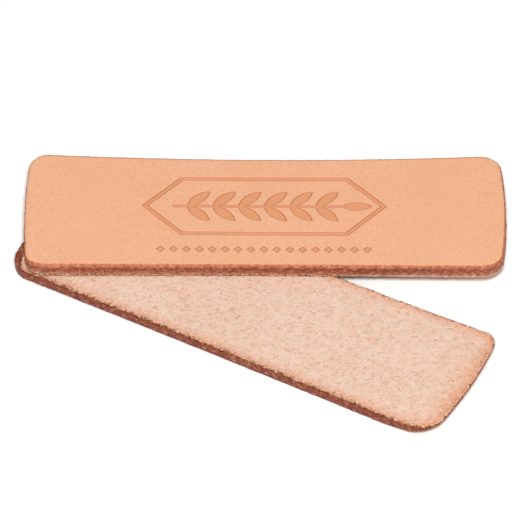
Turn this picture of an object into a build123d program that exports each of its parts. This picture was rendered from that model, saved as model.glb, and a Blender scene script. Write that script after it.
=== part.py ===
from build123d import *
import math
import os

os.makedirs("parts", exist_ok=True)

# A pair of leather strop pads. The lower pad lies flesh side up on the bench.
# The upper pad lies grain side up across it. Sizes are in millimetres, +Z is up.

# ---- driving dimensions -------------------------------------------------------
pad_length = 110.0        # from corner to corner, along a long side
pad_thickness = 3.3       # heavy vegetable-tanned hide, 8 to 9 oz
right_bulge = 1.4         # how far the middle of an end stands out past its corners
left_bulge = 0.9

# Each pad's width across the corners of an end, how far the middles of its +Y and -Y sides
# are drawn in, and the radii of its corners in the order of corner_signs.
corner_signs = [(1, 1), (-1, 1), (-1, -1), (1, -1)]
upper = {"width": 36.8, "waists": (0.9, 0.9), "corners": (4.5, 4.5, 4.5, 4.5)}
lower = {"width": 34.3, "waists": (0.5, 0.9), "corners": (6.0, 4.5, 4.5, 2.6)}

grain_thickness = 1.0     # the tight, smooth outer layer of the hide
suede_thickness = 0.8     # the loose fibres of the flesh side, left unstained
stain_depth = 1.2         # how deep the edge stain soaks in from the outline
shoulder_radius = 1.0     # rounding of the grain side's edge by the edge beveller
suede_rim_radius = 0.3    # rounding of the flesh side's edge
core_thickness = pad_thickness - grain_thickness - suede_thickness

skive_length = 12.0       # the lower pad's free end is pared thin underneath over this run
skive_rim = 1.0           # thickness left at the tip of that end

lower_turn = -28.3        # degrees the lower pad is turned from the upper one
lower_offset = (-2.7, -25.4)   # centre of the lower pad, measured from the upper one
pad_gap = 0.15            # clearance between the stacked faces

# ---- pressed decoration on the upper pad's grain side ---------------------------
press_depth = 0.35
frame_length = 57.0       # tip to tip of the six-sided border
frame_width = 18.5
frame_tip = 9.0           # length of each pointed end
frame_line = 0.9          # width of the border line
frame_centre_y = 1.9

sprig_length = 42.0
stem_width = 0.7
leaf_pairs = 6
leaf_length = 7.0
leaf_width = 2.5
leaf_angle = 42.0         # degrees from the stem

bead_count = 17
bead_pitch = 3.0
bead_size = 1.3           # side of each square bead, set on its corner
bead_row_y = -12.0


def pad_outline(pad, inset=0.0):
    """A pad seen from its grain side: bulged ends, waisted sides and rounded corners."""
    half_length = pad_length / 2 - inset
    half_width = pad["width"] / 2 - inset
    with BuildSketch() as sketch:
        with BuildLine():
            for side, bulge, waist in zip((1, -1), (right_bulge, left_bulge), pad["waists"]):
                ThreePointArc(
                    (-side * half_length, side * half_width),
                    (0, side * (half_width - waist)),
                    (side * half_length, side * half_width),
                )
                ThreePointArc(
                    (side * half_length, side * half_width),
                    (side * (half_length + bulge), 0),
                    (side * half_length, -side * half_width),
                )
        make_face()
        for (side_x, side_y), radius in zip(corner_signs, pad["corners"]):
            corner = Vector(side_x * half_length, side_y * half_width)
            sharp = min(sketch.vertices(), key=lambda vertex: (Vector(vertex) - corner).length)
            fillet(sharp, radius - inset)
    return sketch.sketch


def slab(face, low, high):
    """A flat slab of one outline between two heights."""
    return Pos(0, 0, low) * extrude(face, amount=high - low)


def stained_edge(pad):
    """The burnished band round the grain layer and the core, with a rounded shoulder."""
    block = slab(pad_outline(pad), suede_thickness, pad_thickness)
    block = fillet(block.faces().sort_by(Axis.Z)[-1].edges(), shoulder_radius)
    return block - slab(pad_outline(pad, stain_depth), suede_thickness, pad_thickness)


def suede_face(pad):
    """The flesh side's loose fibre layer, which reaches the outline."""
    layer = slab(pad_outline(pad), 0, suede_thickness)
    return fillet(layer.faces().sort_by(Axis.Z)[0].edges(), suede_rim_radius)


def fibre_core(pad):
    """The dense fibre between the two faces."""
    return slab(pad_outline(pad, stain_depth), suede_thickness, suede_thickness + core_thickness)


def grain_face(pad):
    """The smooth layer of the grain side."""
    return slab(pad_outline(pad, stain_depth), pad_thickness - grain_thickness, pad_thickness)


def skived_off():
    """The wedge pared off the grain side at the lower pad's free end."""
    start = pad_length / 2 + right_bulge - skive_length
    drop = (pad_thickness - skive_rim) / skive_length
    past_tip = 2 * skive_length
    profile = Plane.XZ * make_face(Polyline(
        (start, pad_thickness),
        (start + past_tip, pad_thickness),
        (start + past_tip, pad_thickness - drop * past_tip),
        close=True,
    ))
    return extrude(profile, amount=lower["width"], both=True)


def border_outline(length, width, tip):
    """A six-sided border with a pointed left and right end."""
    half_length = length / 2
    half_width = width / 2
    return make_face(Polyline(
        (-half_length, 0),
        (tip - half_length, half_width),
        (half_length - tip, half_width),
        (half_length, 0),
        (half_length - tip, -half_width),
        (tip - half_length, -half_width),
        close=True,
    ))


def leaf_outline():
    """A pointed leaf from the origin along +X, made of two arcs."""
    tip = (leaf_length, 0)
    return make_face([
        ThreePointArc((0, 0), (leaf_length / 2, leaf_width / 2), tip),
        ThreePointArc(tip, (leaf_length / 2, -leaf_width / 2), (0, 0)),
    ])


def pressed_shapes():
    """Every shape of the decoration, as flat faces in the pad's own plane."""
    centre = Pos(0, frame_centre_y)
    slope = math.atan2(frame_width / 2, frame_tip)
    tip_inset = frame_line / math.sin(slope)
    inner_tip = frame_tip * (frame_width - 2 * frame_line) / frame_width
    border = border_outline(frame_length, frame_width, frame_tip) - border_outline(
        frame_length - 2 * tip_inset, frame_width - 2 * frame_line, inner_tip)
    shapes = [centre * border]
    leaf_spacing = sprig_length / (leaf_pairs + 1)
    stem = Rectangle(sprig_length, stem_width)
    for index in range(leaf_pairs):
        leaf_root = -sprig_length / 2 + leaf_spacing * (index + 0.5)
        for side in (1, -1):
            stem += Pos(leaf_root, 0) * Rot(0, 0, side * leaf_angle) * leaf_outline()
    stem += Pos(sprig_length / 2 - leaf_spacing / 2, 0) * leaf_outline()
    shapes.append(centre * stem)
    for index in range(bead_count):
        bead_x = (index - (bead_count - 1) / 2) * bead_pitch
        shapes.append(Pos(bead_x, bead_row_y) * Rot(0, 0, 45) * Rectangle(bead_size, bead_size))
    return shapes


def pressed_grain_face(pad):
    """The upper pad's grain layer with the decoration pressed into it."""
    layer = grain_face(pad)
    for shape in pressed_shapes():
        layer -= slab(shape, pad_thickness - press_depth, pad_thickness)
    return layer


# ---- the two pads, each built grain side up with its flesh side at height 0 ------
upper_place = Pos(0, 0, pad_thickness + pad_gap)
lower_place = Pos(*lower_offset, pad_thickness) * Rot(0, 0, lower_turn) * Rot(180, 0, 0)

nodes = {
    "upper_grain_face": upper_place * pressed_grain_face(upper),
    "upper_stained_edge": upper_place * stained_edge(upper),
    "upper_fibre_core": upper_place * fibre_core(upper),
    "upper_suede_face": upper_place * suede_face(upper),
    "lower_grain_face": lower_place * (grain_face(lower) - skived_off()),
    "lower_stained_edge": lower_place * (stained_edge(lower) - skived_off()),
    "lower_fibre_core": lower_place * (fibre_core(lower) - skived_off()),
    "lower_suede_face": lower_place * suede_face(lower),
}

# The origin is under the middle of the whole pair, on the bench.
boxes = [shape.bounding_box() for shape in nodes.values()]
middle_x = (min(box.min.X for box in boxes) + max(box.max.X for box in boxes)) / 2
middle_y = (min(box.min.Y for box in boxes) + max(box.max.Y for box in boxes)) / 2
to_origin = Pos(-middle_x, -middle_y, 0)
for node_name, shape in nodes.items():
    export_step(to_origin * shape, f"parts/{node_name}.step")
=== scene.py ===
"""Two loose leather strop pads: the upper one grain side up, the lower one flesh side up.

Lengths are in millimetres until a mesh is made, and each pad is drawn in its own plane:
x along it, y across it, and level as the height above its flesh side.
"""

import math

import bmesh
import bpy
import numpy as np
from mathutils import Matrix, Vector


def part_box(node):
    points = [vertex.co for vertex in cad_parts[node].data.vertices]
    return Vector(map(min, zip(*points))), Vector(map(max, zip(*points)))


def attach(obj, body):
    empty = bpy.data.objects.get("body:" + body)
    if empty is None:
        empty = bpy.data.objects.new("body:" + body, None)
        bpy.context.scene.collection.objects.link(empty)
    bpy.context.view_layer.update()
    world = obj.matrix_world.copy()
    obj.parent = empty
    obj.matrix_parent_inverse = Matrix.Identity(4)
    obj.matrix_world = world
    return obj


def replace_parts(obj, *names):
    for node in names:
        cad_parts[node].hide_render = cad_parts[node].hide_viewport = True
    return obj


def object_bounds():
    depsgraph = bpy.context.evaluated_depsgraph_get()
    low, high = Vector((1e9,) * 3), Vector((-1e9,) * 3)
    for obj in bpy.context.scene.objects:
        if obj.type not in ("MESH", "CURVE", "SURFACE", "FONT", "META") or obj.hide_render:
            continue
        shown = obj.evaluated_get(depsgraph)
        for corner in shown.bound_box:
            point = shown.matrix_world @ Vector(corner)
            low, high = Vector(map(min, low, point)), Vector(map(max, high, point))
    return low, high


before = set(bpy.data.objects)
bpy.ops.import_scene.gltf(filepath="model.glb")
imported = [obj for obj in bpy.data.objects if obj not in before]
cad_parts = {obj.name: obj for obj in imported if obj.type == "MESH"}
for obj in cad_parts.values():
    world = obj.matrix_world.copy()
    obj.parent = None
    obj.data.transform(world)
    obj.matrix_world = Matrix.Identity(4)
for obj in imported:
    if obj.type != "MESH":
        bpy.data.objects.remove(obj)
cad_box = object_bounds()

MM = 0.001

# ---- driving dimensions, the same as the solid model's ---------------------------
pad_length = 110.0
right_bulge = 1.4
left_bulge = 0.9
lower_offset = (-2.7, -25.4)   # centre of the lower pad, measured from the upper one
stain_depth = 1.2
shoulder_radius = 1.0
skive_length = 12.0
skive_rim = 1.0
suede_rim_radius = 0.3

press_depth = 0.35
frame_length = 57.0
frame_width = 18.5
frame_tip = 9.0
frame_line = 0.9
frame_centre_y = 1.9
frame_knee = 8.55         # length of each pointed end, measured along the line's middle
frame_mitre = 1.4         # how far a tip stands past the line's middle, in half line widths
sprig_length = 42.0
stem_width = 0.7
leaf_pairs = 6
leaf_length = 7.0
leaf_width = 2.5
leaf_angle = math.radians(42.0)
bead_count = 17
bead_pitch = 3.0
bead_size = 1.3
bead_row_y = -12.0
press_slope = 0.16        # half the width of the pressed shapes' sloping sides

# ---- mesh detail -------------------------------------------------------------------
fine_step = 0.19          # spacing of the points on faces that show relief
coarse_step = 1.5         # spacing on faces that are hidden
band_inset = 2.2          # loops are true offsets of the outline out to here


# ---- the two pads --------------------------------------------------------------------
corner_signs = [(1, 1), (-1, 1), (-1, -1), (1, -1)]


def measured_pad(prefix, width, waists, corners, turn, flipped, curl, seed):
    """What a pad needs to be drawn: its size and place, read from its nodes.

    waists is how far the middles of the +y and -y sides are drawn in. corners is the radii of
    the corners, in the order of corner_signs. curl is how far the ends rise off the bench.
    """
    suede_low, suede_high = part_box(prefix + "_suede_face")
    grain_low, grain_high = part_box(prefix + "_grain_face")
    bottom = min(suede_low.z, grain_low.z) / MM
    top = max(suede_high.z, grain_high.z) / MM
    return {
        "prefix": prefix,
        "width": width,
        "waists": waists,
        "corners": corners,
        "turn": math.radians(turn),
        "flipped": flipped,
        "curl": curl,
        "seed": seed,
        "x": (suede_low.x + suede_high.x) / 2 / MM - (right_bulge - left_bulge) / 2,
        "y": (suede_low.y + suede_high.y) / 2 / MM,
        "bottom": bottom,
        "thickness": top - bottom,
        "suede": (suede_high.z - suede_low.z) / MM,
        "grain": (grain_high.z - grain_low.z) / MM,
    }


upper = measured_pad(
    "upper", width=36.8, waists=(0.9, 0.9), corners=(4.5, 4.5, 4.5, 4.5),
    turn=0.0, flipped=False, curl=0.75, seed=1)
lower = measured_pad(
    "lower", width=34.3, waists=(0.5, 0.9), corners=(6.0, 4.5, 4.5, 2.6),
    turn=-28.3, flipped=True, curl=0.5, seed=2)
lower["x"] = upper["x"] + lower_offset[0]
lower["y"] = upper["y"] + lower_offset[1]


# ---- repeatable noise ---------------------------------------------------------------
def lattice(ix, iy, iz, seed):
    """A repeatable number from 0 to 1 for each whole-numbered point."""
    mixed = (ix * 374761393 + iy * 668265263 + iz * 2147483647 + seed * 1274126177) & 0xFFFFFFFF
    mixed = ((mixed ^ (mixed >> 13)) * 1274126177) & 0xFFFFFFFF
    mixed = ((mixed ^ (mixed >> 16)) * 2246822519) & 0xFFFFFFFF
    return ((mixed ^ (mixed >> 15)) & 0xFFFFFF) / float(0xFFFFFF)


def noise(points, size, seed):
    """Smooth noise from 0 to 1 whose bumps are about size across. points is (n, 3)."""
    scaled = points / size
    cell = np.floor(scaled).astype(np.int64)
    part = scaled - cell
    part = part * part * part * (part * (part * 6 - 15) + 10)
    total = np.zeros(len(points))
    for dx in (0, 1):
        for dy in (0, 1):
            for dz in (0, 1):
                weight = (
                    (part[:, 0] if dx else 1 - part[:, 0])
                    * (part[:, 1] if dy else 1 - part[:, 1])
                    * (part[:, 2] if dz else 1 - part[:, 2])
                )
                total += weight * lattice(cell[:, 0] + dx, cell[:, 1] + dy, cell[:, 2] + dz, seed)
    return total


def smooth(low, high, value):
    """0 below low, 1 above high, and an S-shaped step between them."""
    part = np.clip((value - low) / (high - low), 0, 1)
    return part * part * (3 - 2 * part)


# ---- the pad's outline as loops of points ---------------------------------------------
def rounded_loop(half_length, half_width, radii, step):
    """A rounded rectangle's points, anticlockwise. The count depends on step alone."""
    long_count = int(pad_length / step)
    short_count = int(upper["width"] / step)
    arc_count = max(6, int(math.pi / 2 * upper["corners"][0] / (step * 0.8)))
    arcs = []
    for quarter, ((side_x, side_y), radius) in enumerate(zip(corner_signs, radii)):
        angles = (quarter + np.linspace(0, 1, arc_count)) * math.pi / 2
        arcs.append(np.column_stack([
            side_x * (half_length - radius) + radius * np.cos(angles),
            side_y * (half_width - radius) + radius * np.sin(angles),
        ]))
    points = []
    for quarter, arc in enumerate(arcs):
        points.append(arc)
        run_end = arcs[(quarter + 1) % 4][0]
        run_count = short_count if quarter % 2 else long_count
        share = np.linspace(0, 1, run_count + 1)[1:-1, None]
        points.append(arc[-1] + (run_end - arc[-1]) * share)
    return np.concatenate(points)


def plan_loop(pad, depth, step):
    """The pad's outline moved inwards by depth. Past band_inset it shrinks to the middle line."""
    half_length = pad_length / 2
    half_width = pad["width"] / 2
    near = min(depth, band_inset)
    radii = [radius - near for radius in pad["corners"]]
    loop = rounded_loop(half_length - near, half_width - near, radii, step)
    if depth > near:
        share = (depth - near) / (half_width - near)
        middle_x = np.clip(loop[:, 0], half_width - half_length, half_length - half_width)
        loop[:, 0] += (middle_x - loop[:, 0]) * share
        loop[:, 1] *= 1 - share
    return loop


def warp(pad, flat):
    """Bulges the ends and waists the sides of points in the pad's plane."""
    half_length = pad_length / 2
    half_width = pad["width"] / 2
    x, y = flat[:, 0], flat[:, 1]
    bulge = np.where(x > 0, right_bulge, left_bulge)
    bulged = x * (1 + bulge / half_length * (1 - (y / half_width) ** 2))
    waist = np.where(y > 0, *pad["waists"])
    waisted = y * (1 - waist / half_width * (1 - (x / half_length) ** 2))
    return np.column_stack([bulged, waisted])


def outline_distance(pad, flat):
    """How far inside the outline each unwarped point is."""
    x, y = flat[:, 0], flat[:, 1]
    radius = np.zeros(len(flat))
    for (side_x, side_y), corner in zip(corner_signs, pad["corners"]):
        radius[(x * side_x >= 0) & (y * side_y >= 0)] = corner
    past_x = np.abs(x) - (pad_length / 2 - radius)
    past_y = np.abs(y) - (pad["width"] / 2 - radius)
    outside = np.hypot(np.maximum(past_x, 0), np.maximum(past_y, 0))
    inside = np.minimum(np.maximum(past_x, past_y), 0)
    return radius - outside - inside


def skived(pad, x, level):
    """Levels above the flesh layer, squeezed down towards the lower pad's thin free end."""
    past_start = x - (pad_length / 2 + right_bulge - skive_length)
    share = np.clip(past_start / skive_length, 0, 1)
    left = 1 - share * (pad["thickness"] - skive_rim) / (pad["thickness"] - pad["suede"])
    return np.where(level > pad["suede"], pad["suede"] + (level - pad["suede"]) * left, level)


def to_frame(pad, local):
    """Takes points from the pad's own axes to the shared frame, in metres."""
    x, y, level = local.T
    rise = pad["curl"] * (x / (pad_length / 2)) ** 2
    if pad["flipped"]:
        level = pad["thickness"] - skived(pad, x, level)
        y = -y
    cosine, sine = math.cos(pad["turn"]), math.sin(pad["turn"])
    return MM * np.column_stack([
        pad["x"] + x * cosine - y * sine,
        pad["y"] + x * sine + y * cosine,
        pad["bottom"] + level + rise,
    ])


def spaced(start, end, step):
    """Numbers from start to end, about step apart."""
    return list(np.linspace(start, end, max(2, int(round(abs(end - start) / step)) + 1)))


def shell(pad, name, rows, shape, step=fine_step, ring=False):
    """A closed mesh swept round the outline.

    rows lists (depth, level) pairs along the section. A ring's last row joins its first. A slab's
    first and last rows lie on the pad's middle line. shape moves the points and adds attributes.
    """
    loops = [plan_loop(pad, depth, step) for depth, level in rows]
    count = len(loops[0])
    flat = np.concatenate(loops)
    level = np.repeat([row[1] for row in rows], count)
    plan = warp(pad, flat)
    around = plan.reshape(len(rows), count, 2)
    tangent = np.roll(around, -1, 1) - np.roll(around, 1, 1)
    outward = np.stack([tangent[..., 1], -tangent[..., 0]], -1).reshape(-1, 2)
    outward /= np.maximum(np.linalg.norm(outward, axis=1), 1e-9)[:, None]
    inset = outline_distance(pad, flat)
    local = np.column_stack([plan, level])
    moved, attributes = shape(pad, local, inset, outward)

    row_pairs = len(rows) if ring else len(rows) - 1
    first = np.arange(row_pairs)[:, None] * count + np.arange(count)[None]
    first_next = np.arange(row_pairs)[:, None] * count + (np.arange(count)[None] + 1) % count
    below = (first + count) % (len(rows) * count)
    below_next = (first_next + count) % (len(rows) * count)
    quads = np.stack([first, below, below_next, first_next], -1).reshape(-1, 4)
    mesh = bpy.data.meshes.new(name)
    mesh.from_pydata(to_frame(pad, moved).tolist(), [], quads.tolist())
    attributes["inset"] = inset
    for key, values in attributes.items():
        layer = mesh.attributes.new(key, "FLOAT", "POINT")
        layer.data.foreach_set("value", np.ascontiguousarray(values, np.float32))
    return finished(mesh, name)


def finished(mesh, name):
    """Welds the points that meet, shades the mesh smooth and returns it as an object."""
    work = bmesh.new()
    work.from_mesh(mesh)
    bmesh.ops.remove_doubles(work, verts=work.verts, dist=0.002 * MM)
    bmesh.ops.recalc_face_normals(work, faces=work.faces)
    work.to_mesh(mesh)
    work.free()
    mesh.shade_smooth()
    mesh.set_sharp_from_angle(angle=math.radians(60))
    piece = bpy.data.objects.new(name, mesh)
    bpy.context.scene.collection.objects.link(piece)
    return piece


# ---- relief of the surfaces, in millimetres -----------------------------------------
grain_dip = 0.06          # how far the grain side sinks between its high spots
edge_relief = 0.11        # roughness of the stained wall
groove_drop = 1.05        # the edge tool's faint groove, measured down from the grain side
groove_width = 0.22
groove_depth = 0.05
nap_height = 0.045        # the flesh side's raised nap
pit_depth = 0.05
nap_sink = 0.02           # how far the nap as a whole lies inside the solid model's face
rim_raggedness = 0.30     # how far the flesh side's rim strays to and fro
rim_stand_out = 0.03
rim_hang = 0.08           # how far clumps of nap hang down from the rim

# ---- stain ---------------------------------------------------------------------------
shoulder_share = 0.32     # the part of the stained section that lies on the shoulder
right_end_fade = 0.12     # how much less of the shoulder is stained at the ends
left_end_fade = 0.26
rim_bleed = 0.20          # how far the edge stain bleeds onto the flesh side
left_end_bleed = 2.6      # how much further it bleeds at the lower pad's left end
free_end_bleed = 0.40     # how much less it bleeds at the thin free end


# ---- the pressed decoration --------------------------------------------------------
def segment_distance(x, y, start, end):
    """Distance from points to a straight run."""
    run = np.array(end) - np.array(start)
    share = ((x - start[0]) * run[0] + (y - start[1]) * run[1]) / run.dot(run)
    share = np.clip(share, 0, 1)
    return np.hypot(x - start[0] - share * run[0], y - start[1] - share * run[1])


def border_distance(x, y):
    """Distance to the edge of the six-sided border's line, below 0 on the line."""
    half_length = frame_length / 2 - frame_line / 2 * frame_mitre
    half_width = frame_width / 2 - frame_line / 2
    knee = half_length - frame_knee
    corners = [(-half_length, 0), (-knee, half_width), (knee, half_width),
               (half_length, 0), (knee, -half_width), (-knee, -half_width)]
    runs = zip(corners, corners[1:] + corners[:1])
    nearest = np.min([segment_distance(x, y, start, end) for start, end in runs], axis=0)
    return nearest - frame_line / 2


def leaf_distance(x, y, root, angle):
    """Distance to a pointed leaf that starts at root, below 0 inside it."""
    along = (x - root) * math.cos(angle) + y * math.sin(angle) - leaf_length / 2
    across = np.abs(-(x - root) * math.sin(angle) + y * math.cos(angle))
    half_length = leaf_length / 2
    half_width = leaf_width / 2
    offset = (half_length ** 2 - half_width ** 2) / (2 * half_width)
    body = np.hypot(along, across + offset) - (offset + half_width)
    tip = np.hypot(np.abs(along) - half_length, across)
    return np.where(np.abs(along) > half_length, tip, body)


def pressed_depth(x, y):
    """0 on the open leather and 1 on the floor of the pressed decoration."""
    y_sprig = y - frame_centre_y
    distance = border_distance(x, y_sprig)
    spacing = sprig_length / (leaf_pairs + 1)
    half_sprig = sprig_length / 2
    stem = segment_distance(x, y_sprig, (-half_sprig, 0), (half_sprig, 0)) - stem_width / 2
    distance = np.minimum(distance, stem)
    for index in range(leaf_pairs):
        root = -half_sprig + spacing * (index + 0.5)
        for side in (1, -1):
            distance = np.minimum(distance, leaf_distance(x, y_sprig, root, side * leaf_angle))
    distance = np.minimum(distance, leaf_distance(x, y_sprig, half_sprig - spacing / 2, 0))
    for index in range(bead_count):
        bead_x = (index - (bead_count - 1) / 2) * bead_pitch
        diamond = (np.abs(x - bead_x) + np.abs(y - bead_row_y)) / math.sqrt(2) - bead_size / 2
        distance = np.minimum(distance, diamond)
    return 1 - smooth(-press_slope, press_slope, distance)


# ---- how each layer's points are moved ----------------------------------------------
def shoulder_profile(pad, local, inset):
    """The section's measure near the rim: below 0 on the face, shoulder_share at the wall's top."""
    profile = shoulder_share * (1 - inset / shoulder_radius)
    along = local[:, 0] / (pad_length / 2)
    right_end = smooth(0.95, 1.0, along)
    left_end = smooth(-0.95, -1.0, along)
    return profile - right_end_fade * right_end - left_end_fade * left_end


def smooth_grain(pad, local, inset, outward):
    """Gentle unevenness of the grain side, with the decoration pressed in on the upper pad."""
    moved = local.copy()
    face = local[:, 2] > pad["thickness"] - 0.01
    swell = 0.8 * noise(local, 9.0, pad["seed"]) + 0.2 * noise(local, 2.2, pad["seed"] + 5)
    fade = smooth(stain_depth, stain_depth + 2.0, inset)
    moved[:, 2] -= np.where(face, grain_dip * swell * fade, 0)
    pressed = np.zeros(len(local))
    if not pad["flipped"]:
        pressed = pressed_depth(local[:, 0], local[:, 1]) * face
        moved[:, 2] -= press_depth * pressed
    return moved, {"pressed": pressed, "profile": shoulder_profile(pad, local, inset)}


def burnished_edge(pad, local, inset, outward):
    """The stained wall, left slightly uneven by the edge tool and the cut fibres."""
    moved = local.copy()
    level = local[:, 2]
    wall = smooth(0.9, 0.2, inset) * smooth(0.0, 0.3, level - pad["suede"] + 0.3)
    stretched = local * np.array([1.0, 1.0, 0.45])
    coarse = noise(stretched, 0.7, pad["seed"] + 11) - 0.5
    fine = noise(stretched, 0.3, pad["seed"] + 12) - 0.5
    groove = np.exp(-((level - pad["thickness"] + groove_drop) / groove_width) ** 2)
    push = wall * (edge_relief * (coarse + 0.6 * fine) - groove_depth * groove)
    moved[:, :2] += outward * push[:, None]
    down_wall = (pad["thickness"] - level) / (pad["thickness"] - pad["suede"])
    profile = shoulder_profile(pad, local, inset) + (1 - shoulder_share) * down_wall
    return moved, {"pressed": np.zeros(len(local)), "profile": profile}


def napped_suede(pad, local, inset, outward):
    """The raw flesh side: raised nap, pits and a ragged rim.

    rim_level runs from 0 on the face to 1 at the stained edge. bleed is how far stain has bled
    in, warmth is the tan at the +x end, and contact marks the part that rests on the other pad,
    where the upper pad's rim gets painted contact shade.
    """
    moved = local.copy()
    seed = pad["seed"] + 20
    face = smooth(pad["suede"] * 0.9, pad["suede"] * 0.4, local[:, 2])
    streak = local * np.array([1.6, 0.8, 1.0])
    nap = (noise(streak, 0.9, seed) - 0.5) + 0.7 * (noise(streak, 0.42, seed + 1) - 0.5)
    pits = smooth(0.70, 0.86, noise(local, 0.62, seed + 2))
    off_rim = smooth(-0.2, 0.6, inset)
    moved[:, 2] -= face * off_rim * (nap_height * nap - pit_depth * pits - nap_sink)
    rim = smooth(0.6, 0.0, inset)
    ragged = noise(local, 0.55, seed + 3) - 0.5 + 0.8 * (noise(local, 0.26, seed + 4) - 0.5)
    moved[:, :2] += outward * (rim * (rim_raggedness * ragged + rim_stand_out))[:, None]
    hanging = smooth(0.45, 0.65, noise(local, 0.8, seed + 5))
    moved[:, 2] -= rim_hang * hanging * rim * face
    along = local[:, 0] / (pad_length / 2)
    left_end = smooth(-0.935, -0.985, along)
    free_end = smooth(0.92, 0.985, along)
    return moved, {
        "pits": pits,
        "rim_level": local[:, 2] / pad["suede"],
        "bleed": rim_bleed + left_end_bleed * left_end - free_end_bleed * free_end,
        "warmth": smooth(0.88, 1.0, along),
        "contact": smooth(0.36, 0.30, along),
    }


def plain_fibre(pad, local, inset, outward):
    """The sealed core keeps its plain shape."""
    return local, {}


# ---- the sections of the layers ---------------------------------------------------------
def slab_rows(outer_depth, half_width, face_level, back_level, face_step, back_step):
    """A slab's section: its face from the middle out, its side, and its back."""
    face = [(depth, face_level) for depth in spaced(half_width, outer_depth, face_step)]
    side = [(outer_depth, level) for level in spaced(face_level, back_level, 0.25)[1:-1]]
    back = [(depth, back_level) for depth in spaced(outer_depth, half_width, back_step)]
    return face + side + back


def quarter_round(radius, count):
    """(depth, drop) pairs round an edge, from the face it starts on to the wall."""
    angles = np.linspace(0, math.pi / 2, count)
    return [(radius * (1 - math.sin(angle)), radius * (1 - math.cos(angle))) for angle in angles]


def edge_rows(pad):
    """The stained band's section: flat lip, rounded shoulder, wall and hidden inner sides."""
    top = pad["thickness"]
    rows = [(depth, top) for depth in spaced(stain_depth, shoulder_radius, 0.15)[:-1]]
    rows += [(depth, top - drop) for depth, drop in quarter_round(shoulder_radius, 10)]
    rows += [(0.0, level) for level in spaced(top - shoulder_radius, pad["suede"], 0.13)[1:]]
    rows += [(depth, pad["suede"]) for depth in spaced(0.0, stain_depth, 0.4)[1:]]
    rows += [(stain_depth, level) for level in spaced(pad["suede"], top, 0.6)[1:-1]]
    return rows


def suede_rows(pad):
    """The flesh layer's section: napped face, small round rim, wall and hidden back."""
    half_width = pad["width"] / 2
    rows = [(depth, 0.0) for depth in spaced(half_width, suede_rim_radius, fine_step)]
    rows += quarter_round(suede_rim_radius, 5)[1:]
    rows += [(0.0, level) for level in spaced(suede_rim_radius, pad["suede"], 0.12)[1:]]
    rows += [(depth, pad["suede"]) for depth in spaced(0.0, half_width, coarse_step)[1:]]
    return rows


# ---- materials -------------------------------------------------------------------------
def linear(red, green, blue):
    """An 8-bit display colour as the linear colour that shaders use."""
    out = []
    for value in (red / 255, green / 255, blue / 255):
        out.append(value / 12.92 if value <= 0.04045 else ((value + 0.055) / 1.055) ** 2.4)
    return (*out, 1.0)


albedo_gain = 0.80        # the key and the room light together brighten a surface by 1 / this


def paint(red, green, blue):
    """The surface colour that the studio light shows as this display colour."""
    shown = linear(red, green, blue)
    return (*[value * albedo_gain for value in shown[:3]], 1.0)


# A Mix node has a pair of inputs and an output for each kind of value. These are the colour ones.
mix_first_colour = 6
mix_second_colour = 7
mix_result_colour = 2


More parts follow.
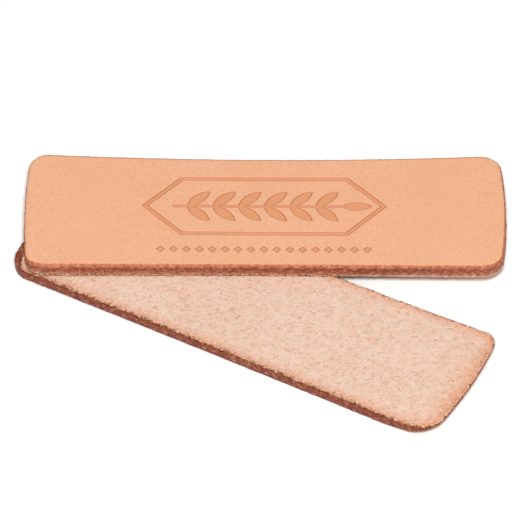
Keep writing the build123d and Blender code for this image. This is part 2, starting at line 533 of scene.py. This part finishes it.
class Recipe:
    """A material's node tree, built by small named steps."""

    def __init__(self, name):
        self.material = bpy.data.materials.new(name)
        self.material.use_nodes = True
        self.tree = self.material.node_tree
        self.shader = self.tree.nodes["Principled BSDF"]
        coordinates = self.tree.nodes.new("ShaderNodeTexCoord")
        scale = self.tree.nodes.new("ShaderNodeVectorMath")
        scale.operation = "SCALE"
        scale.inputs["Scale"].default_value = 1 / MM
        self.tree.links.new(coordinates.outputs["Object"], scale.inputs[0])
        self.place = scale.outputs[0]

    def put(self, socket, value):
        """Links an output to a socket, or sets the socket to a plain value."""
        if isinstance(value, bpy.types.NodeSocket):
            self.tree.links.new(value, socket)
        else:
            socket.default_value = value

    def noise(self, size, detail=3.0, roughness=0.55, stretch=(1, 1, 1), turn=0.0, distortion=0.0):
        """Noise from 0 to 1 with features about size millimetres across."""
        mapping = self.tree.nodes.new("ShaderNodeMapping")
        self.put(mapping.inputs["Vector"], self.place)
        mapping.inputs["Rotation"].default_value = (0, 0, turn)
        mapping.inputs["Scale"].default_value = stretch
        texture = self.tree.nodes.new("ShaderNodeTexNoise")
        self.put(texture.inputs["Vector"], mapping.outputs[0])
        texture.inputs["Scale"].default_value = 1 / size
        texture.inputs["Detail"].default_value = detail
        texture.inputs["Roughness"].default_value = roughness
        texture.inputs["Distortion"].default_value = distortion
        return texture.outputs["Fac"]

    def attribute(self, name):
        node = self.tree.nodes.new("ShaderNodeAttribute")
        node.attribute_name = name
        return node.outputs["Fac"]

    def math(self, operation, first, second=0.0, third=0.0):
        node = self.tree.nodes.new("ShaderNodeMath")
        node.operation = operation
        self.put(node.inputs[0], first)
        self.put(node.inputs[1], second)
        self.put(node.inputs[2], third)
        return node.outputs[0]

    def step(self, value, low, high):
        """A smooth step from 0 at low to 1 at high."""
        node = self.tree.nodes.new("ShaderNodeMapRange")
        node.interpolation_type = "SMOOTHSTEP"
        self.put(node.inputs["Value"], value)
        falling = low > high
        node.inputs["From Min"].default_value = min(low, high)
        node.inputs["From Max"].default_value = max(low, high)
        node.inputs["To Min"].default_value = 1.0 if falling else 0.0
        node.inputs["To Max"].default_value = 0.0 if falling else 1.0
        return node.outputs["Result"]

    def dim(self, colour, factor):
        """A colour with its brightness multiplied."""
        node = self.tree.nodes.new("ShaderNodeVectorMath")
        node.operation = "SCALE"
        self.put(node.inputs[0], colour if isinstance(colour, bpy.types.NodeSocket) else colour[:3])
        self.put(node.inputs["Scale"], factor)
        return node.outputs[0]

    def blend(self, share, first, second):
        """first where share is 0, second where it is 1."""
        node = self.tree.nodes.new("ShaderNodeMix")
        node.data_type = "RGBA"
        self.put(node.inputs["Factor"], share)
        self.put(node.inputs[mix_first_colour], first)
        self.put(node.inputs[mix_second_colour], second)
        return node.outputs[mix_result_colour]

    def cover(self, base, mask, amount, colour):
        """base with the colour laid over it by this amount where the mask is 1."""
        return self.blend(self.math("MULTIPLY", mask, amount), base, colour)

    def around(self, value, centre, spread, middle=0.5):
        """centre, moved up or down by how far value lies from its middle."""
        return self.math("MULTIPLY_ADD", self.math("SUBTRACT", value, middle), spread, centre)

    def ramp(self, share, stops):
        """A colour ramp from (place, colour) stops."""
        node = self.tree.nodes.new("ShaderNodeValToRGB")
        elements = node.color_ramp.elements
        while len(elements) < len(stops):
            elements.new(0.5)
        for element, (place, colour) in zip(elements, stops):
            element.position = place
            element.color = colour
        self.put(node.inputs["Fac"], share)
        return node.outputs["Color"]

    def bump(self, height, strength, distance):
        node = self.tree.nodes.new("ShaderNodeBump")
        node.inputs["Strength"].default_value = strength
        node.inputs["Distance"].default_value = distance * MM
        self.put(node.inputs["Height"], height)
        self.put(self.shader.inputs["Normal"], node.outputs["Normal"])


def grain_colour(recipe):
    """The even, warm surface of undyed grain, with cloudy and fine mottling."""
    cloud = recipe.noise(14.0, detail=2.0)
    fine = recipe.noise(0.55, detail=4.0, roughness=0.65)
    base = recipe.blend(cloud, paint(245, 179, 137), paint(249, 189, 150))
    return recipe.dim(base, recipe.around(fine, centre=1.0, spread=0.5))


def mottled_stain(recipe, stain, paleness=0.75):
    """Stain that took unevenly: darker spots, and paler ones where fibres show through."""
    speck = recipe.noise(0.85, detail=4.0, roughness=0.75, stretch=(0.8, 0.8, 1.3))
    dark = recipe.dim(stain, recipe.math("MULTIPLY_ADD", recipe.step(speck, 0.36, 0.54), 0.45, 0.62))
    pale = recipe.math("MULTIPLY", recipe.step(speck, 0.50, 0.70), paleness)
    return recipe.blend(pale, dark, paint(212, 154, 126))


def edge_stops(pad):
    """Stain colours from the grain face's rim, at 0, down to the flesh layer, at 1, with painted
    contact shade in the lower pad's first stops.
    """
    if pad["flipped"]:
        return [
            # Painted contact shade: the first two stops darken and grey the shoulder that rests on
            # the bench, over its darker burnish.
            (0.00, paint(112, 80, 68)),
            (0.14, paint(136, 84, 68)),
            (0.36, paint(140, 61, 38)),
            (0.75, paint(137, 58, 33)),
            (1.00, paint(144, 72, 44)),
        ]
    return [
        (0.10, paint(222, 138, 90)),
        (0.20, paint(198, 110, 66)),
        (0.30, paint(182, 98, 62)),
        (0.40, paint(184, 108, 74)),
        (0.52, paint(160, 82, 52)),
        (0.64, paint(152, 74, 48)),
        (0.80, paint(164, 88, 58)),
        (0.90, paint(180, 106, 76)),
        (1.00, paint(198, 134, 102)),
    ]


def leather_material(pad, name):
    """The grain face and the stained edge in one recipe, so that they meet without a seam."""
    recipe = Recipe(name)
    profile = recipe.attribute("profile")
    pressed = recipe.attribute("pressed")
    mottle = recipe.noise(0.8, detail=5.0, roughness=0.7, stretch=(1, 1, 0.6))
    stain = recipe.ramp(recipe.around(mottle, centre=profile, spread=0.34), edge_stops(pad))
    paleness = recipe.math("MULTIPLY_ADD", recipe.step(profile, 0.16, 0.34), 0.60, 0.15)
    stain = mottled_stain(recipe, stain, paleness)
    grain = grain_colour(recipe)
    grain = recipe.cover(grain, pressed, 0.75, paint(232, 152, 103))
    # Painted shade on the sloping walls of the pressed decoration, over some darker burnish of the
    # pressed leather.
    pressed_wall_shade = recipe.math("MULTIPLY", pressed, recipe.math("SUBTRACT", 1.0, pressed))
    grain = recipe.cover(grain, pressed_wall_shade, 3.2, paint(186, 112, 76))
    stained = recipe.step(recipe.around(mottle, centre=profile, spread=0.30), 0.01, 0.15)
    recipe.put(recipe.shader.inputs["Base Color"], recipe.blend(stained, grain, stain))
    pores = recipe.noise(0.42, detail=5.0, roughness=0.7)
    recipe.put(recipe.shader.inputs["Roughness"], recipe.math("MULTIPLY_ADD", pores, 0.25, 0.42))
    recipe.shader.inputs["Specular IOR Level"].default_value = 0.28
    recipe.bump(pores, 0.35, 0.05)
    return recipe.material


def suede_nap(recipe, inset):
    """The pale nap with its tan patches, brown strokes and flecks, warmer towards the rim, with
    painted shade in its pits.
    """
    cloud = recipe.noise(11.0, detail=3.0)
    patch = recipe.noise(2.4, detail=4.0, roughness=0.6)
    nap = recipe.blend(cloud, paint(240, 202, 178), paint(247, 216, 196))
    nap = recipe.cover(nap, recipe.step(patch, 0.45, 0.7), 0.5, paint(241, 190, 158))
    nap = recipe.cover(nap, recipe.step(inset, 3.6, 0.0), 0.5, paint(236, 166, 127))
    tint = recipe.step(recipe.noise(1.2, detail=4.0, roughness=0.75), 0.40, 0.62)
    warm = recipe.math("MULTIPLY", recipe.attribute("warmth"), tint)
    nap = recipe.cover(nap, warm, 0.6, paint(234, 160, 120))
    for turn, stretch, amount in ((0.35, (4.2, 0.8, 1), 0.6), (-0.5, (0.8, 4.0, 1), 0.42)):
        strand = recipe.noise(
            0.95, detail=5.0, roughness=0.75, stretch=stretch, turn=turn, distortion=0.6)
        nap = recipe.cover(nap, recipe.step(strand, 0.58, 0.74), amount, paint(206, 150, 120))
    fleck = recipe.step(recipe.noise(0.7, detail=5.0, roughness=0.8), 0.585, 0.70)
    nap = recipe.cover(nap, fleck, 0.85, paint(172, 112, 84))
    # Painted shade in the pits of the nap.
    nap = recipe.cover(nap, recipe.attribute("pits"), 0.15, paint(196, 142, 116))
    singe = recipe.step(recipe.noise(1.0, detail=5.0, roughness=0.8), 0.50, 0.64)
    return recipe.cover(nap, singe, recipe.step(inset, 3.2, 0.0), paint(214, 146, 109))


def bled_rim(recipe, nap, inset, rim_level):
    """The lower pad's rim, where the edge stain has bled onto the flesh side."""
    ragged = recipe.noise(0.9, detail=5.0, roughness=0.8)
    above_wall = recipe.math("MULTIPLY_ADD", rim_level, -0.8, inset)
    reach = recipe.around(ragged, centre=above_wall, spread=4.2)
    past_bleed = recipe.math("SUBTRACT", reach, recipe.attribute("bleed"))
    stain = mottled_stain(recipe, paint(136, 72, 46))
    return recipe.blend(recipe.step(past_bleed, 0.10, -0.20), nap, stain)


def pale_rim(recipe, nap, inset, rim_level):
    """The upper pad's rim: a pale wall, stain seeping from above and dark dots painted below as
    contact shade where it rests on the lower pad.
    """
    ragged = recipe.noise(0.9, detail=5.0, roughness=0.8)
    rim = recipe.cover(nap, recipe.step(inset, 0.5, 0.1), 0.7, paint(220, 170, 144))
    seep = recipe.around(ragged, centre=rim_level, spread=0.9)
    rim = recipe.blend(recipe.step(seep, 0.72, 1.0), rim, paint(150, 84, 60))
    # Painted contact shade: dark dots along the rim's foot, where it rests on the lower pad.
    contact_shade_dots = recipe.step(recipe.noise(0.55, detail=2.0, roughness=0.7), 0.46, 0.55)
    for limit in (
        recipe.step(rim_level, 0.82, 0.56),
        recipe.step(inset, 0.6, 0.3),
        recipe.attribute("contact"),
    ):
        contact_shade_dots = recipe.math("MULTIPLY", contact_shade_dots, limit)
    return recipe.cover(rim, contact_shade_dots, 0.9, paint(98, 60, 44))


def suede_material(pad, name):
    """The flesh side: pale nap with short brown fibres, pits and stain at the rim."""
    recipe = Recipe(name)
    inset = recipe.attribute("inset")
    rim_level = recipe.attribute("rim_level")
    nap = suede_nap(recipe, inset)
    add_rim = bled_rim if pad["flipped"] else pale_rim
    recipe.put(recipe.shader.inputs["Base Color"], add_rim(recipe, nap, inset, rim_level))
    recipe.shader.inputs["Roughness"].default_value = 0.95
    recipe.shader.inputs["Specular IOR Level"].default_value = 0.05
    fuzz = recipe.noise(0.3, detail=6.0, roughness=0.8)
    recipe.bump(fuzz, 0.4, 0.08)
    return recipe.material


def core_material(name):
    """Dense hide fibre, sealed inside."""
    recipe = Recipe(name)
    strand = recipe.noise(0.6, detail=5.0, roughness=0.7, stretch=(1, 1, 4))
    colour = recipe.blend(strand, paint(190, 140, 112), paint(222, 178, 150))
    recipe.put(recipe.shader.inputs["Base Color"], colour)
    recipe.shader.inputs["Roughness"].default_value = 0.9
    recipe.bump(strand, 0.5, 0.1)
    return recipe.material


def fibre_material(name):
    """Loose fibres, some pale and some brown."""
    recipe = Recipe(name)
    shade = recipe.attribute("shade")
    colour = recipe.ramp(shade, [
        (0.0, paint(244, 210, 188)),
        (0.4, paint(232, 184, 154)),
        (0.7, paint(200, 140, 108)),
        (1.0, paint(152, 92, 62)),
    ])
    recipe.put(recipe.shader.inputs["Base Color"], colour)
    recipe.shader.inputs["Roughness"].default_value = 0.9
    recipe.shader.inputs["Specular IOR Level"].default_value = 0.05
    return recipe.material


# ---- loose fibres on the flesh side -----------------------------------------------------
face_fibre_count = 6500
rim_fibre_count = 1100    # of each kind
face_fibre_radius = 0.022
rim_fibre_radius = 0.03
root_level = 0.02         # how far a fibre's root lies inside the nap
strand_stations = np.array([0.0, 0.3, 0.65, 1.0])   # shares of a fibre's length
strand_bend = 1.2         # the most that a fibre turns over its length, in radians
strand_points = 8         # a point at each end and a ring of three at each inner station


def strand_spine(heading, bend, length, lift):
    """A fibre's middle line from its root, lying flat and arching up by lift, and its headings."""
    headings = heading + bend * strand_stations
    spine = np.zeros((len(strand_stations), 3))
    for station in range(1, len(strand_stations)):
        stride = (strand_stations[station] - strand_stations[station - 1]) * length
        ahead = np.array([math.cos(headings[station]), math.sin(headings[station]), 0])
        spine[station] = spine[station - 1] + stride * ahead
    spine[:, 2] = -lift * np.sin(strand_stations * math.pi * 0.8)
    return spine, headings


def strand_faces(start):
    """The faces of a fibre whose points begin at start: two pointed ends and a tube."""
    faces = []
    for corner in range(3):
        here = start + 1 + corner
        following = start + 1 + (corner + 1) % 3
        faces.append((start, following, here))
        faces.append((here, following, following + 3, here + 3))
        faces.append((start + strand_points - 1, here + 3, following + 3))
    return faces


def fibres(pad, name, roots, headings, lengths, lifts, radius, shades, seed):
    """Short tapering strands. Each is a closed three-sided tube with a point at each end."""
    draw = np.random.default_rng(seed)
    bends = draw.uniform(-strand_bend, strand_bend, len(roots))
    up = np.array([0, 0, 1.0])
    points = []
    faces = []
    for index, root in enumerate(roots):
        spine, turned = strand_spine(headings[index], bends[index], lengths[index], lifts[index])
        spine += root
        across = np.array([-math.sin(turned[1]), math.cos(turned[1]), 0])
        faces += strand_faces(len(points))
        points.append(spine[0])
        for centre in spine[1:-1]:
            for corner in range(3):
                turn = corner * 2 * math.pi / 3
                points.append(centre + radius * (math.cos(turn) * across + math.sin(turn) * up))
        points.append(spine[-1])
    mesh = bpy.data.meshes.new(name)
    mesh.from_pydata(to_frame(pad, np.array(points)).tolist(), [], faces)
    layer = mesh.attributes.new("shade", "FLOAT", "POINT")
    layer.data.foreach_set("value", np.repeat(shades, strand_points).astype(np.float32))
    mesh.shade_smooth()
    piece = bpy.data.objects.new(name, mesh)
    bpy.context.scene.collection.objects.link(piece)
    return piece


def rim_fibres(pad, count, seed, pale):
    """Fibres along the flesh side's rim: pale ones reach out over it, stained ones lie inside it."""
    draw = np.random.default_rng(seed)
    loop = plan_loop(pad, 0.05 if pale else 0.25, fine_step)
    chosen = draw.integers(0, len(loop), count)
    following = warp(pad, np.roll(loop, -1, axis=0))[chosen]
    here = warp(pad, loop)[chosen]
    run = following - here
    outward = np.arctan2(-run[:, 0], run[:, 1])
    slant = draw.normal(0.0, 0.7, count)
    headings = outward + slant + (0.0 if pale else math.pi)
    lengths = draw.uniform(0.25, 0.7, count) if pale else draw.uniform(0.3, 1.0, count)
    back = 0.45 if pale else 0.0
    start = here - back * lengths[:, None] * np.column_stack([np.cos(headings), np.sin(headings)])
    roots = np.column_stack([start, np.full(count, root_level)])
    lifts = draw.uniform(-0.06, 0.02, count) if pale else draw.uniform(0.0, 0.05, count)
    shades = draw.uniform(0.0, 0.5, count) if pale else draw.uniform(0.8, 1.0, count)
    name = pad["prefix"] + ("_rim_pale_fibres" if pale else "_rim_stained_fibres")
    return fibres(pad, name, roots, headings, lengths, lifts, rim_fibre_radius, shades, seed + 1)


def face_fibres(pad, count, seed):
    """Fibres lying on the flesh side, anywhere inside its outline."""
    draw = np.random.default_rng(seed)
    half_width = pad["width"] / 2
    flat = np.column_stack([
        draw.uniform(-pad_length / 2, pad_length / 2, count),
        draw.uniform(-half_width, half_width, count),
    ])
    flat = flat[outline_distance(pad, flat) > 0.5]
    roots = np.column_stack([warp(pad, flat), np.full(len(flat), root_level)])
    headings = draw.normal(math.pi / 2, 0.9, len(flat))
    lengths = 0.4 + 1.6 * draw.uniform(0, 1, len(flat)) ** 2
    lifts = draw.uniform(0.02, 0.10, len(flat))
    shades = draw.uniform(0, 1, len(flat))
    name = pad["prefix"] + "_suede_fibres"
    return fibres(pad, name, roots, headings, lengths, lifts, face_fibre_radius, shades, seed + 1)


# ---- pieces ---------------------------------------------------------------------------
def place(pad, piece, node, material):
    """Gives a piece its body, the node it stands for and its material."""
    piece.data.materials.clear()
    piece.data.materials.append(material)
    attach(piece, pad["prefix"] + "_pad")
    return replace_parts(piece, pad["prefix"] + "_" + node)


def build_layers(pad):
    """The four layers of one pad."""
    prefix = pad["prefix"]
    half_width = pad["width"] / 2
    top = pad["thickness"]
    core_top = top - pad["grain"]
    leather = leather_material(pad, prefix + "_leather")
    suede = suede_material(pad, prefix + "_suede")
    rows = slab_rows(stain_depth, half_width, top, core_top, fine_step, coarse_step)
    grain = shell(pad, prefix + "_grain", rows, smooth_grain)
    place(pad, grain, "grain_face", leather)
    edge = shell(pad, prefix + "_edge", edge_rows(pad), burnished_edge, ring=True)
    place(pad, edge, "stained_edge", leather)
    flesh = shell(pad, prefix + "_suede", suede_rows(pad), napped_suede)
    place(pad, flesh, "suede_face", suede)
    rows = slab_rows(stain_depth, half_width, core_top, pad["suede"], coarse_step, coarse_step)
    core = shell(pad, prefix + "_core", rows, plain_fibre, step=coarse_step)
    place(pad, core, "fibre_core", core_material(prefix + "_fibre"))


def build_fibres(pad):
    """The loose fibres of one pad's flesh side, which ride with it."""
    prefix = pad["prefix"]
    material = fibre_material(prefix + "_strand")
    all_strands = [
        face_fibres(pad, face_fibre_count, pad["seed"] + 40),
        rim_fibres(pad, rim_fibre_count, pad["seed"] + 50, pale=True),
        rim_fibres(pad, rim_fibre_count, pad["seed"] + 60, pale=False),
    ]
    for strands in all_strands:
        strands.data.materials.append(material)
        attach(strands, prefix + "_pad")


for pad in (upper, lower):
    build_layers(pad)
    build_fibres(pad)


# ---- stage, light and camera, in metres and degrees --------------------------------------
floor_reach = 3.0
floor_level = cad_box[0].z
floor_white = 0.93
room_light = 0.38         # strength of the white light from all round
key_azimuth = 2
key_elevation = 55.5      # a little above the camera, so that shadows stay narrow
key_distance = 1.2
key_size = 0.2
key_power = 14.55         # watts
camera_lens = 439.3       # focal length in millimetres
camera_azimuth = 0.36
camera_elevation = 46.52
camera_distance = 1.5
camera_aim = (upper["x"] * MM, (upper["y"] - 10.35) * MM, floor_level)   # between the pads


def add_floor():
    """A large, plain white surface under the pads."""
    mesh = bpy.data.meshes.new("floor")
    corners = [
        (side_x * floor_reach, side_y * floor_reach, floor_level) for side_x, side_y in corner_signs
    ]
    mesh.from_pydata(corners, [], [(0, 1, 2, 3)])
    floor = bpy.data.objects.new("floor", mesh)
    bpy.context.scene.collection.objects.link(floor)
    material = bpy.data.materials.new("floor_white")
    material.use_nodes = True
    shader = material.node_tree.nodes["Principled BSDF"]
    shader.inputs["Base Color"].default_value = (floor_white, floor_white, floor_white, 1)
    shader.inputs["Roughness"].default_value = 1.0
    shader.inputs["Specular IOR Level"].default_value = 0.0
    mesh.materials.append(material)


def add_room_light():
    """White light from all round."""
    world = bpy.data.worlds.new("studio")
    bpy.context.scene.world = world
    world.use_nodes = True
    background = world.node_tree.nodes["Background"]
    background.inputs["Color"].default_value = (1, 1, 1, 1)
    background.inputs["Strength"].default_value = room_light


def add_key_light():
    """A square soft light above the camera, which faces the pads."""
    data = bpy.data.lights.new("key", "AREA")
    data.size = key_size
    data.energy = key_power
    light = bpy.data.objects.new("key", data)
    bpy.context.scene.collection.objects.link(light)
    aim_at(light, (0, 0, 0), key_azimuth, key_elevation, key_distance)


def aim_at(thing, aim, azimuth, elevation, distance):
    """Puts a camera or light at a bearing from aim, facing it. Azimuth 0 is in front, at -Y."""
    azimuth = math.radians(azimuth)
    elevation = math.radians(elevation)
    back = Vector((
        math.sin(azimuth) * math.cos(elevation),
        -math.cos(azimuth) * math.cos(elevation),
        math.sin(elevation),
    ))
    thing.location = Vector(aim) + back * distance
    thing.rotation_mode = "QUATERNION"
    thing.rotation_quaternion = (-back).to_track_quat("-Z", "Y")


def add_camera():
    """A long lens in front of the pads, which looks steeply down on them."""
    data = bpy.data.cameras.new("camera")
    data.lens = camera_lens
    data.sensor_width = 36.0
    data.clip_start = 0.05
    data.clip_end = 20.0
    camera = bpy.data.objects.new("camera", data)
    bpy.context.scene.collection.objects.link(camera)
    bpy.context.scene.camera = camera
    aim_at(camera, camera_aim, camera_azimuth, camera_elevation, camera_distance)


add_floor()
add_room_light()
add_key_light()
add_camera()
bpy.context.scene.view_settings.view_transform = "Standard"
